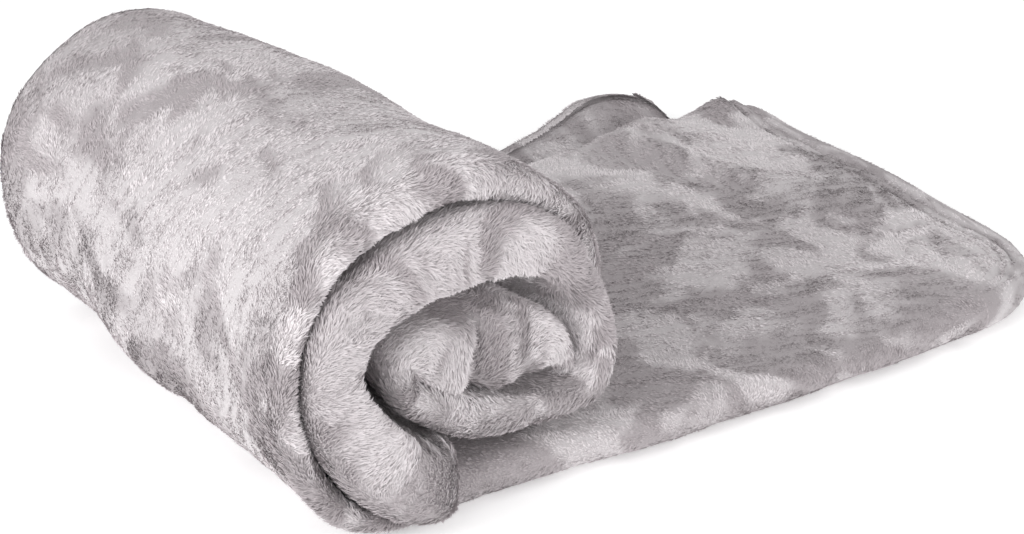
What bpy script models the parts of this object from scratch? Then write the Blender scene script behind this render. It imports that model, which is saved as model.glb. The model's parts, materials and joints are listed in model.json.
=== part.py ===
"""Plush throw blanket, folded in four along its length and rolled up, with its last stretch left lying flat.

Frame: +Y runs along the roll from its near end to its far end, +X runs along the flat tail away from the
roll, +Z is up and the floor is at z = 0. The pieces are laid out with the roll's axis over x = 0 and the
tail's near edge at y = 0, and the whole is then moved so that the origin is under the middle of its box.
All sizes are in metres.
"""

import math

import bmesh
import bpy
from mathutils import Matrix, Vector

# Driving dimensions of the folded cloth.
PACK_WIDTH = 0.3175
PACK_THICKNESS = 0.025
LAYER_GAP = 0.0006
FACE_GAP = 0.0003
WRAP_END_GAP = 0.0012

# The roll.
ROLL_RADIUS = 0.0985
FAR_END_SCALE = 0.90
CORE_CLEAR_RADIUS = 0.007
MIDDLE_SHARE = 0.714
SEGMENTS_PER_TURN = 40
FACE_TURN = 0.0015
OUTER_SET_BACK = 0.018
MIDDLE_SET_BACK = -0.003
INNER_SET_BACK = 0.008

# The flat tail.
LIFT_HINGE_X = 0.098
TAIL_STRETCH = 0.182
LOWER_END_STRETCH = 0.078
UPPER_OVERHANG = 0.055
FOLD_HINGE_RISE = 0.003
UPPER_NARROWER = 0.016
LOWER_SHIFT = 0.015
UPPER_CORNER = 0.085
LOWER_CORNER = 0.060
FAR_CORNER = 0.018
DROOP_LENGTH = 0.034

# The turned hem and its two rows of stitching.
HEM_WIDTH = 0.011
STITCH_INSETS = (0.0028, 0.0082)
THREAD_RADIUS = 0.0004

EDGE_ROUNDING = 0.0045
ROUNDING_STEPS = 2
ARC_STEPS = 9

FLEECE_COLOUR = (0.60, 0.57, 0.58, 1.0)
HEM_COLOUR = (0.57, 0.54, 0.55, 1.0)
THREAD_COLOUR = (0.50, 0.47, 0.48, 1.0)

FOLD_HINGE_X = LIFT_HINGE_X + TAIL_STRETCH
LOWER_END_X = FOLD_HINGE_X + LOWER_END_STRETCH
UPPER_END_X = LOWER_END_X + UPPER_OVERHANG
PITCH = PACK_THICKNESS + LAYER_GAP
END_TURN = (ROLL_RADIUS - PACK_THICKNESS - CORE_CLEAR_RADIUS) / PITCH
MIDDLE_END_TURN = 1.0 + (END_TURN - 1.0) * MIDDLE_SHARE
LEAF_THICKNESS = (PACK_THICKNESS - LAYER_GAP) / 2.0
UPPER_LEAF_BASE = PACK_THICKNESS - LEAF_THICKNESS


def clear_scene():
    for item in list(bpy.data.objects):
        bpy.data.objects.remove(item, do_unlink=True)


def new_collection(name):
    collection = bpy.data.collections.new(name)
    bpy.context.scene.collection.children.link(collection)
    return collection


def new_material(name, colour, roughness):
    material = bpy.data.materials.new(name)
    material.use_nodes = True
    shader = material.node_tree.nodes["Principled BSDF"]
    shader.inputs["Base Color"].default_value = colour
    shader.inputs["Roughness"].default_value = roughness
    shader.inputs["Metallic"].default_value = 0.0
    return material


def new_hinge_point(name, position, parent=None):
    """An empty on a hinge's axis, which the pieces that turn with it hang from."""
    empty = bpy.data.objects.new(name, None)
    BLANKET.objects.link(empty)
    if parent is not None:
        empty.parent = parent
        empty.location = Vector(position) - parent.matrix_world.translation
    else:
        empty.location = position
    bpy.context.view_layer.update()
    return empty


def new_curve(name, points, closed, dimensions="2D"):
    """A curve object of straight segments through the points."""
    data = bpy.data.curves.new(name, "CURVE")
    data.dimensions = dimensions
    spline = data.splines.new("POLY")
    spline.points.add(len(points) - 1)
    for target, point in zip(spline.points, points):
        target.co = (point[0], point[1], point[2] if len(point) > 2 else 0.0, 1.0)
    spline.use_cyclic_u = closed
    curve = bpy.data.objects.new(name, data)
    BLANKET.objects.link(curve)
    return curve


def curve_to_piece(curve, material, hinge=None, reshape=None, cuts=()):
    """Turns a curve into a closed mesh piece in place, cuts it across X where asked, and reshapes its points."""
    bpy.context.view_layer.update()
    evaluated = curve.evaluated_get(bpy.context.evaluated_depsgraph_get())
    mesh = bpy.data.meshes.new_from_object(evaluated)
    mesh.transform(curve.matrix_world)
    name = curve.name
    bpy.data.objects.remove(curve, do_unlink=True)
    body = bmesh.new()
    body.from_mesh(mesh)
    bmesh.ops.remove_doubles(body, verts=body.verts, dist=0.00001)
    for x in cuts:
        everything = body.verts[:] + body.edges[:] + body.faces[:]
        bmesh.ops.bisect_plane(body, geom=everything, dist=0.00001, plane_co=(x, 0, 0), plane_no=(1, 0, 0))
    if reshape is not None:
        for vertex in body.verts:
            vertex.co = reshape(vertex.co)
    bmesh.ops.recalc_face_normals(body, faces=body.faces)
    body.to_mesh(mesh)
    body.free()
    mesh.materials.clear()
    mesh.materials.append(material)
    mesh.shade_smooth()
    mesh.set_sharp_from_angle(angle=math.radians(40))
    piece = bpy.data.objects.new(name, mesh)
    BLANKET.objects.link(piece)
    if hinge is not None:
        mesh.transform(Matrix.Translation(-hinge.matrix_world.translation))
        piece.parent = hinge
    return piece


def arc(centre, radius, start_degrees, end_degrees, steps):
    points = []
    for step in range(steps + 1):
        angle = math.radians(start_degrees + (end_degrees - start_degrees) * step / steps)
        points.append((centre[0] + radius * math.cos(angle), centre[1] + radius * math.sin(angle)))
    return points


def spiral_point(turn):
    """The middle of the pack's thickness after this many turns, going left, up and over from the floor."""
    radius = ROLL_RADIUS - PITCH * turn - PACK_THICKNESS / 2.0
    angle = 2.0 * math.pi * turn
    return (-radius * math.sin(angle), ROLL_RADIUS - radius * math.cos(angle))


def pack_section():
    """The pack's cross-section: its thickness across X, its width along Y, with softly rounded folds."""
    half_thick = PACK_THICKNESS / 2.0
    half_wide = PACK_WIDTH / 2.0
    points = []
    corners = ((1, 1, 0), (-1, 1, 90), (-1, -1, 180), (1, -1, 270))
    rounding = half_thick * 0.8
    for across, along, start in corners:
        centre = (across * (half_thick - rounding), along * (half_wide - rounding))
        points += arc(centre, rounding, start, start + 90, 3)
    section = new_curve("pack_section", points, closed=True)
    section.hide_render = True
    section.display_type = "WIRE"
    BLANKET.objects.unlink(section)
    GUIDES.objects.link(section)
    return section


def far_scale(y):
    """The roll is wound tighter towards its far end, so its wraps and the stretch below them get smaller."""
    return 1.0 + (FAR_END_SCALE - 1.0) * min(max(y / PACK_WIDTH, 0.0), 1.0)


def narrow_to_far_end(point):
    return Vector((point.x * far_scale(point.y), point.y, point.z * far_scale(point.y)))


def thin_to_far_end(point):
    return Vector((point.x, point.y, point.z * far_scale(point.y)))


def make_wrap(name, section, first_turn, last_turn, set_back):
    """One wrap of the roll: the pack's section swept along its stretch of the spiral."""
    middle_radius = ROLL_RADIUS - PITCH * last_turn - PACK_THICKNESS / 2.0
    last_face = last_turn - WRAP_END_GAP / (2.0 * math.pi * middle_radius)
    first = math.ceil((first_turn + 2.0 * FACE_TURN) * SEGMENTS_PER_TURN)
    last = math.floor((last_face - 2.0 * FACE_TURN) * SEGMENTS_PER_TURN)
    turns = [first_turn, first_turn + FACE_TURN]
    turns += [step / SEGMENTS_PER_TURN for step in range(first, last + 1)]
    turns += [last_face - FACE_TURN, last_face]
    path = new_curve(name, [spiral_point(turn) for turn in turns], closed=False)
    path.data.bevel_mode = "OBJECT"
    path.data.bevel_object = section
    path.data.use_fill_caps = True
    path.location = (0.0, set_back + PACK_WIDTH / 2.0, 0.0)
    path.rotation_euler = (math.radians(90), 0.0, 0.0)
    return curve_to_piece(path, FLEECE, reshape=narrow_to_far_end)


def make_core_fold():
    """The crumpled start of the cloth, a soft bar lying in the hollow that the innermost wrap leaves."""
    hollow = CORE_CLEAR_RADIUS + 0.7 * PITCH
    angle = 2.0 * math.pi * (END_TURN + 0.3)
    distance = 0.5 * hollow
    centre = (-distance * math.sin(angle), ROLL_RADIUS - distance * math.cos(angle))
    bar = new_curve("core_fold", arc(centre, 0.45 * hollow - EDGE_ROUNDING, 0, 345, 23), closed=True)
    bar.data.fill_mode = "BOTH"
    bar.data.extrude = PACK_WIDTH / 2.0 - 2.0 * EDGE_ROUNDING
    bar.data.bevel_depth = EDGE_ROUNDING
    bar.data.bevel_resolution = ROUNDING_STEPS
    bar.location = (0.0, INNER_SET_BACK + PACK_WIDTH / 2.0, 0.0)
    bar.rotation_euler = (math.radians(90), 0.0, 0.0)
    return curve_to_piece(bar, FLEECE, reshape=narrow_to_far_end)


def make_slab(name, outline, base, thickness, rounding, **options):
    """A flat piece of the pack lying on its side faces, with rounded edges: outline in XY, base is its low face."""
    slab = new_curve(name, outline, closed=True)
    slab.data.fill_mode = "BOTH"
    slab.data.extrude = thickness / 2.0 - rounding
    slab.data.bevel_depth = rounding
    slab.data.bevel_resolution = ROUNDING_STEPS
    slab.data.offset = -rounding
    slab.location = (0.0, 0.0, base + thickness / 2.0)
    return curve_to_piece(slab, **options)


def strip_outline(x_start, x_end, y_near, y_far):
    return [(x_start, y_near), (x_end, y_near), (x_end, y_far), (x_start, y_far)]


def end_edge(x_end, y_near, y_far, near_corner, far_corner, inset):
    """The tail's end edge, from its near corner round to its far corner, moved inwards by inset."""
    near_centre = (x_end - near_corner, y_near + near_corner)
    far_centre = (x_end - far_corner, y_far - far_corner)
    points = arc(near_centre, near_corner - inset, -90, 0, ARC_STEPS)
    points += arc(far_centre, far_corner - inset, 0, 90, ARC_STEPS // 2)
    return points


def droop(point):
    """Past the lower leaf's end, the upper leaf sinks until it lies on the floor."""
    share = min(max((point.x - LOWER_END_X - LAYER_GAP) / DROOP_LENGTH, 0.0), 1.0)
    fall = share * share * (3.0 - 2.0 * share)
    return Vector((point.x, point.y, point.z - UPPER_LEAF_BASE * fall))


def droop_cuts():
    return [LOWER_END_X + LAYER_GAP + DROOP_LENGTH * step / 5.0 for step in range(6)]


def upper_edge(inset):
    return end_edge(UPPER_END_X, 0.0, PACK_WIDTH - UPPER_NARROWER, UPPER_CORNER, FAR_CORNER, inset)


def make_tail_leaves():
    """The stretch of tail between the two places where it bends: the pack's upper and lower leaf."""
    x_start = LIFT_HINGE_X + FACE_GAP / 2.0
    x_end = FOLD_HINGE_X - FACE_GAP / 2.0
    lower = strip_outline(x_start, x_end, LOWER_SHIFT, PACK_WIDTH + LOWER_SHIFT)
    upper = strip_outline(x_start, x_end, 0.0, PACK_WIDTH - UPPER_NARROWER)
    make_slab("tail_lower_leaf", lower, 0.0, LEAF_THICKNESS, EDGE_ROUNDING, material=FLEECE, hinge=LIFT_POINT)
    make_slab(
        "tail_upper_leaf", upper, UPPER_LEAF_BASE, LEAF_THICKNESS, EDGE_ROUNDING, material=FLEECE, hinge=LIFT_POINT
    )


def make_end_leaves():
    """The tail's last stretch, whose upper leaf runs past the lower one and rests its end on the floor."""
    x_start = FOLD_HINGE_X + FACE_GAP / 2.0
    lower = [(x_start, PACK_WIDTH + LOWER_SHIFT), (x_start, LOWER_SHIFT)]
    lower += end_edge(LOWER_END_X, LOWER_SHIFT, PACK_WIDTH + LOWER_SHIFT, LOWER_CORNER, FAR_CORNER, 0.0)
    make_slab("end_lower_leaf", lower, 0.0, LEAF_THICKNESS, EDGE_ROUNDING, material=FLEECE, hinge=FOLD_POINT)
    upper = [(x_start, PACK_WIDTH - UPPER_NARROWER), (x_start, 0.0)]
    upper.append((UPPER_END_X - UPPER_CORNER - FACE_GAP, 0.0))
    upper += upper_edge(HEM_WIDTH + FACE_GAP)
    upper.append((UPPER_END_X - FAR_CORNER - FACE_GAP, PACK_WIDTH - UPPER_NARROWER))
    make_slab(
        "end_upper_leaf",
        upper,
        UPPER_LEAF_BASE,
        LEAF_THICKNESS,
        EDGE_ROUNDING,
        material=FLEECE,
        hinge=FOLD_POINT,
        reshape=droop,
        cuts=droop_cuts(),
    )


def make_hem():
    """The cloth's end edge, turned under and sewn: a rounded band along the upper leaf's end."""
    outline = upper_edge(0.0) + upper_edge(HEM_WIDTH)[::-1]
    make_slab(
        "end_hem",
        outline,
        UPPER_LEAF_BASE,
        LEAF_THICKNESS,
        EDGE_ROUNDING / 2.0,
        material=HEM,
        hinge=FOLD_POINT,
        reshape=droop,
        cuts=droop_cuts(),
    )


def make_stitching():
    """Two rows of sewing thread that lie on the hem and hold it."""
    height = PACK_THICKNESS + FACE_GAP + THREAD_RADIUS
    for row, inset in enumerate(STITCH_INSETS, start=1):
        points = [(x, y, height) for x, y in upper_edge(inset)]
        thread = new_curve(f"hem_stitching_{row}", points, closed=False, dimensions="3D")
        thread.data.bevel_depth = THREAD_RADIUS
        thread.data.bevel_resolution = 2
        thread.data.use_fill_caps = True
        curve_to_piece(thread, THREAD, hinge=FOLD_POINT, reshape=droop, cuts=droop_cuts())


def make_tail_root():
    """The flat stretch that lies under the roll, up to where the tail lifts."""
    slope = PITCH / (2.0 * math.pi * (ROLL_RADIUS - PACK_THICKNESS / 2.0))
    x_start = 2.0 * FACE_GAP + slope * PACK_THICKNESS / 2.0
    outline = strip_outline(x_start, LIFT_HINGE_X - FACE_GAP / 2.0, 0.0, PACK_WIDTH)
    make_slab("tail_root", outline, 0.0, PACK_THICKNESS, EDGE_ROUNDING, material=FLEECE, reshape=thin_to_far_end)


def make_roll():
    section = pack_section()
    make_wrap("outer_wrap", section, 0.0, 1.0, OUTER_SET_BACK)
    make_wrap("middle_wrap", section, 1.0, MIDDLE_END_TURN, MIDDLE_SET_BACK)
    make_wrap("inner_wrap", section, MIDDLE_END_TURN, END_TURN, INNER_SET_BACK)
    make_core_fold()


def stand_on_origin():
    """Moves the blanket so that the origin is on the floor, under the middle of its box."""
    bpy.context.view_layer.update()
    pieces = [item for item in BLANKET.objects if item.type == "MESH"]
    corners = [item.matrix_world @ vertex.co for item in pieces for vertex in item.data.vertices]
    middle = [(min(c[side] for c in corners) + max(c[side] for c in corners)) / 2.0 for side in (0, 1)]
    shift = Vector((-middle[0], -middle[1], 0.0))
    for item in BLANKET.objects:
        if item.parent is None and item.type == "MESH":
            item.data.transform(Matrix.Translation(shift))
        elif item.parent is None:
            item.location += shift


clear_scene()
BLANKET = new_collection("throw_blanket")
GUIDES = new_collection("guides")
GUIDES.hide_render = True
FLEECE = new_material("plush_fleece", FLEECE_COLOUR, 0.95)
HEM = new_material("hem_fleece", HEM_COLOUR, 0.95)
THREAD = new_material("sewing_thread", THREAD_COLOUR, 0.7)
LIFT_POINT = new_hinge_point("tail_lift_axis", (LIFT_HINGE_X, PACK_WIDTH / 2.0, PACK_THICKNESS))
FOLD_POINT = new_hinge_point(
    "tail_fold_axis", (FOLD_HINGE_X, PACK_WIDTH / 2.0, PACK_THICKNESS + FOLD_HINGE_RISE), LIFT_POINT
)
make_roll()
make_tail_root()
make_tail_leaves()
make_end_leaves()
make_hem()
make_stitching()
stand_on_origin()
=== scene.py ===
"""The looks of a plush throw: one fleece cloth folded in four and rolled up, with its last stretch flat."""

import json
import math

import bpy
import numpy as np
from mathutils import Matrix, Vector


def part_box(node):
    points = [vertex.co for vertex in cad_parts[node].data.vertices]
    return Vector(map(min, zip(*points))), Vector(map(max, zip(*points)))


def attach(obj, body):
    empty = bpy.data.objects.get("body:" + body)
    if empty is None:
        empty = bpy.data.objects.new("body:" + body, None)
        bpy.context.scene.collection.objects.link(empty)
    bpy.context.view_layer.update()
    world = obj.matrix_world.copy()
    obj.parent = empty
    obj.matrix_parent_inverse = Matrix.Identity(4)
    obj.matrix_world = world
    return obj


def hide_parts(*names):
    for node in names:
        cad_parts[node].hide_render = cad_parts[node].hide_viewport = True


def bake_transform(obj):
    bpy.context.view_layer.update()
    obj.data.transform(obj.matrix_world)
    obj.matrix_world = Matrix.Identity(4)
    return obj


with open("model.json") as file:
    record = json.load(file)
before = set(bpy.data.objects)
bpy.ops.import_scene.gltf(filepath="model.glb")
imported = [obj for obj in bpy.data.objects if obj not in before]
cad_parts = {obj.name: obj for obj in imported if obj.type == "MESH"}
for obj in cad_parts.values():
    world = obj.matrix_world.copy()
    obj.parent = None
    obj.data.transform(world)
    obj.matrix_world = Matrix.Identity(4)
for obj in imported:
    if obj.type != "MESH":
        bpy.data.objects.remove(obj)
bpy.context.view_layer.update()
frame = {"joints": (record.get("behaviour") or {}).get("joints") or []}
JOINTS = {joint["name"]: joint for joint in frame["joints"]}

# Where the blanket lies, from the frame. Design places are measured from the roll's axis and the near
# edge, in metres: x along the cloth, y across the folded pack and z up.
LIFT_FROM_AXIS = 0.098
LIFT_POINT = JOINTS["tail_lift"]["pos_m"]
ROLL_X = LIFT_POINT[0] - LIFT_FROM_AXIS
NEAR_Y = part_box("tail_root")[0][1]
DESIGN_TO_FRAME = np.array([ROLL_X, NEAR_Y, 0.0])

# The cloth as it was cut, and the pack it is folded into.
CUT_WIDTH = 1.27
CUT_LENGTH = 1.524
PACK_WIDTH = CUT_WIDTH / 4.0
PACK_THICK = 0.025
LAYER_HEIGHTS = (0.0031, 0.0094, 0.0156, 0.0219)

# The roll. UNIT is the length in which the near end was measured, and PITCH is the step of the spiral.
ROLL_RADIUS = 0.0985
UNIT = 0.0935
PITCH = 0.0256
ROLL_ROW_STEP = 0.0040
FAR_SCALE = 0.90  # the far end is rolled tighter
LIP_REACH = 0.085  # how far along the roll its near end is pushed out of shape

# The tail. TAIL_CUT is where its cloth is parted into two sheets.
TAIL_LENGTH = 0.417
TAIL_CUT = 0.189
CORNER_RADIUS = 0.082
UPPER_FAR_CORNER = 0.020
LOWER_FAR_CORNER = 0.026
LEAF_LAG = 0.046  # how far the lower leaf's end falls short of the upper one's at the far side

# Distances of the hem's two seams from the end edge, and the groove that they press into the cloth.
HEM_SEAMS = (0.0085, 0.0150)
GROOVE_DEPTH = 0.0030
GROOVE_WIDTH = 0.0022
GROOVE_FADE = (0.9, 1.35)  # angles round the near corner between which the grooves fade out
# Wrinkles on the tail: corners of their line, rise and half width.
TAIL_WRINKLES = (
    (((0.300, 0.289), (0.316, 0.258), (0.327, 0.230), (0.345, 0.190)), 0.0055, 0.009),
    (((0.290, 0.283), (0.304, 0.252), (0.315, 0.225), (0.330, 0.190)), -0.0040, 0.007),
    (((0.371, 0.216), (0.375, 0.185)), -0.0045, 0.006),
    (((0.228, 0.262), (0.238, 0.242), (0.250, 0.212)), -0.0042, 0.006),
    (((0.130, 0.180), (0.190, 0.150), (0.235, 0.135)), 0.0034, 0.012),
    (((0.200, 0.060), (0.260, 0.085), (0.330, 0.080)), -0.0030, 0.012),
    (((0.385, 0.095), (0.362, 0.060), (0.345, 0.030)), -0.0026, 0.004),
    (((0.372, 0.110), (0.352, 0.078), (0.340, 0.050)), -0.0024, 0.004),
)
# Spots of painted shade on the tail's pile, or painted light where the amount is less than 0: place, amount
# and reach.
TAIL_SHADES = (
    (0.375, 0.050, -0.62, 0.055),
    (0.300, 0.240, -0.46, 0.065),
    (0.400, 0.250, -0.20, 0.040),
    (0.300, 0.110, 0.22, 0.045),
    (0.345, 0.160, 0.15, 0.035),
    (0.190, 0.060, 0.15, 0.040),
)
# The same for the roll: turns, place along it, amount, and reach in each.
ROLL_SHADES = (
    (0.20, 0.28, -0.45, 0.09, 0.070),
    (0.28, 0.13, -0.35, 0.07, 0.050),
    (0.50, 0.14, 0.30, 0.13, 0.140),
    (1.36, 0.00, 0.50, 0.28, 0.035),
    (1.04, 0.00, -0.30, 0.05, 0.030),
    (2.02, 0.00, -0.30, 0.12, 0.025),
    (2.40, 0.00, 0.22, 0.20, 0.035),
)
# Broad bumps on the tail: place, rise, half widths.
TAIL_BUMPS = (
    (0.400, 0.296, 0.0075, 0.018, 0.020),
    (0.366, 0.304, -0.0040, 0.014, 0.016),
    (0.330, 0.285, 0.0030, 0.022, 0.020),
    (0.350, 0.130, 0.0020, 0.040, 0.030),
    (0.300, 0.020, 0.0018, 0.020, 0.020),
    (0.392, 0.030, 0.0015, 0.015, 0.015),
)

# Stations of the rolled pack at its near end, in units of UNIT: turns of the roll, then
# x and z of the pack's middle, its thickness, and how far the fold's nose stands behind the near edge.
NEAR_STATIONS = (
    (0.00, 0.00, 0.09, 0.17, 0.12),
    (0.05, -0.33, 0.09, 0.15, 0.04),
    (0.09, -0.60, 0.17, 0.15, 0.01),
    (0.14, -0.82, 0.37, 0.16, 0.00),
    (0.19, -0.96, 0.67, 0.16, 0.00),
    (0.25, -1.01, 1.02, 0.16, 0.01),
    (0.375, -0.69, 1.64, 0.20, 0.05),
    (0.45, -0.30, 1.80, 0.24, 0.07),
    (0.50, 0.00, 1.86, 0.26, 0.08),
    (0.56, 0.30, 1.79, 0.25, 0.08),
    (0.625, 0.60, 1.61, 0.19, 0.09),
    (0.69, 0.87, 1.36, 0.15, 0.10),
    (0.75, 1.00, 1.06, 0.15, 0.15),
    (0.82, 1.00, 0.75, 0.16, 0.25),
    (0.875, 0.92, 0.53, 0.18, 0.40),
    (0.92, 0.70, 0.40, 0.22, 0.45),
    (0.97, 0.35, 0.34, 0.28, 0.45),
    (1.00, 0.14, 0.30, 0.38, 0.34),
    (1.02, 0.03, 0.28, 0.44, 0.14),
    (1.04, -0.08, 0.27, 0.46, -0.08),
    (1.07, -0.25, 0.30, 0.50, -0.14),
    (1.10, -0.41, 0.39, 0.53, -0.14),
    (1.14, -0.59, 0.55, 0.52, -0.12),
    (1.18, -0.71, 0.74, 0.46, -0.10),
    (1.25, -0.77, 1.00, 0.39, -0.08),
    (1.33, -0.66, 1.27, 0.43, -0.06),
    (1.41, -0.35, 1.45, 0.47, -0.05),
    (1.50, 0.00, 1.52, 0.50, -0.05),
    (1.57, 0.31, 1.49, 0.46, -0.05),
    (1.64, 0.58, 1.36, 0.37, -0.04),
    (1.70, 0.77, 1.18, 0.26, -0.04),
    (1.76, 0.91, 0.94, 0.20, -0.02),
    (1.82, 0.94, 0.68, 0.19, -0.01),
    (1.88, 0.87, 0.50, 0.20, 0.00),
    (1.94, 0.68, 0.45, 0.25, 0.00),
    (2.00, 0.46, 0.44, 0.26, 0.00),
    (2.06, 0.24, 0.465, 0.29, 0.01),
    (2.12, 0.04, 0.545, 0.27, 0.02),
    (2.18, -0.15, 0.66, 0.24, 0.03),
    (2.24, -0.29, 0.79, 0.25, 0.05),
    (2.30, -0.27, 0.93, 0.28, 0.07),
    (2.36, -0.12, 0.93, 0.42, 0.07),
    (2.42, 0.06, 0.86, 0.55, 0.04),
    (2.48, 0.27, 0.84, 0.58, 0.03),
    (2.54, 0.47, 0.83, 0.54, 0.03),
    (2.60, 0.66, 0.77, 0.36, 0.06),
    (2.66, 0.79, 0.61, 0.20, 0.11),
    (2.70, 0.81, 0.48, 0.15, 0.16),
)
# Dents in the roll: place along it, turns, depth and half width.
ROLL_DENTS = (
    (0.240, 0.15, 0.0022, 0.0090),
    (0.135, 0.15, 0.0026, 0.0110),
    (0.190, 0.26, 0.0020, 0.0120),
)
# Sharp creases in the crumpled inner lip: turns, depth in units of UNIT, and half width in turns.
LIP_CREASES = ((2.385, 0.07, 0.010), (2.452, 0.11, 0.007), (2.535, 0.04, 0.012))
# How far the roll's far end stands past the pack's width: turns and distance.
FAR_SET = (
    (0.00, 0.006),
    (0.25, 0.001),
    (0.50, 0.008),
    (0.75, 0.012),
    (1.25, -0.004),
    (2.00, -0.012),
    (2.70, -0.020),
)


def smooth(x, low, high):
    """0 up to low, 1 from high, and an even S between them."""
    t = np.clip((x - low) / (high - low), 0.0, 1.0)
    return t * t * (3.0 - 2.0 * t)


def through(stations, column, at):
    """A smooth curve through one column of the stations, read at these places."""
    places = np.array([row[0] for row in stations])
    values = np.array([row[column] for row in stations])
    slopes = np.gradient(values, places)
    spot = np.clip(np.searchsorted(places, at, side="right") - 1, 0, len(places) - 2)
    gap = places[spot + 1] - places[spot]
    t = np.clip((at - places[spot]) / gap, 0.0, 1.0)
    a, b = values[spot], values[spot + 1]
    ma, mb = slopes[spot] * gap, slopes[spot + 1] * gap
    return (
        (2 * t**3 - 3 * t**2 + 1) * a
        + (t**3 - 2 * t**2 + t) * ma
        + (3 * t**2 - 2 * t**3) * b
        + (t**3 - t**2) * mb
    )


class Clouds:
    """Soft, seeded cloud values over flat cloth coordinates in metres, about -1 to 1."""

    def __init__(self, seed, size, octaves=3, stretch=(1.0, 1.0)):
        self.table = np.random.default_rng(seed).uniform(-1.0, 1.0, (octaves, 64, 64))
        self.size = size
        self.stretch = np.array(stretch)

    def __call__(self, flat):
        total = np.zeros(flat.shape[:-1])
        weight = 0.0
        for octave, table in enumerate(self.table):
            spot = flat / (self.size * self.stretch) * 2.0**octave + 7.3 * octave
            cell = np.floor(spot).astype(int)
            t = spot - cell
            t = t * t * (3.0 - 2.0 * t)
            i, j = cell[..., 0] % 64, cell[..., 1] % 64
            i2, j2 = (i + 1) % 64, (j + 1) % 64
            low = table[i, j] * (1 - t[..., 0]) + table[i2, j] * t[..., 0]
            high = table[i, j2] * (1 - t[..., 0]) + table[i2, j2] * t[..., 0]
            total += (low * (1 - t[..., 1]) + high * t[..., 1]) * 0.55**octave
            weight += 0.55**octave
        return total / weight * 1.7


class Ripples:
    """Soft, seeded waves through space, used to move the cloth about. Values lie mostly within 1 of 0."""

    def __init__(self, seed, size, count=12):
        rng = np.random.default_rng(seed)
        directions = rng.normal(size=(count, 3))
        directions /= np.linalg.norm(directions, axis=1)[:, None]
        self.waves = directions * (rng.uniform(0.6, 1.5, count) * 2.0 * math.pi / size)[:, None]
        self.phases = rng.uniform(0.0, 2.0 * math.pi, count)
        self.strength = 1.5 / math.sqrt(count)

    def __call__(self, points):
        return np.sin(points @ self.waves.T + self.phases).sum(axis=-1) * self.strength


# ---------------------------------------------------------------- the cloth's folded shape


def layer_columns():
    """The folded cross-section, walked from one free edge of the cloth to the other.

    Each column is its kind, its layer, and a share: how far across it lies on a flat stretch (0 at the
    near fold, 1 at the far side), or how far round a fold or an edge. Layer 0 is the lowest ply, or the
    outermost on the roll, and 3 the top one. Layers 0 and 1 are the lower leaf and 2 and 3 the upper."""
    columns = []
    span = np.linspace(0.0, 1.0, 18)
    wide = np.linspace(0.0, 1.0, 60)
    for t in (0.0, 0.35, 0.7):
        columns.append(("free_inner", 0, t))
    columns += [("flat", 1, 1.0 - t) for t in span[1:]]
    columns += [("inner_fold", 0, t) for t in np.linspace(0.0, 1.0, 7)[1:-1]]
    columns += [("flat", 2, t) for t in span[:-1]]
    columns += [("far_fold", 0, t) for t in np.linspace(0.0, 1.0, 9)]
    columns += [("flat", 3, 1.0 - t) for t in wide[1:]]
    columns += [("near_fold", 0, t) for t in np.linspace(0.0, 1.0, 19)[1:-1]]
    columns += [("flat", 0, t) for t in wide[:-1]]
    for t in (0.3, 0.65, 1.0):
        columns.append(("free_outer", 0, t))
    return columns


COLUMNS = layer_columns()
KINDS = np.array([c[0] for c in COLUMNS])
LAYERS = np.array([c[1] for c in COLUMNS])
FREE = np.isin(KINDS, ("free_inner", "free_outer"))
COLUMN_OF_NOSE = int(np.flatnonzero(KINDS == "near_fold")[8])
# The near fold's nose as a share of the pack's thickness. A thick, full pack has a blunter and squarer nose.
NOSE_SHARE = 0.52
NOSE_SHARE_LOSS = 0.27
NOSE_SQUARENESS = 0.38
FULL_PACK = (0.020, 0.040)
INNER_NOSE_SHARE = 0.20
FAR_FOLD_DEPTH = 0.004
HEM_DEPTH = 0.010
HEM_LIFT = 0.0034


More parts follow.
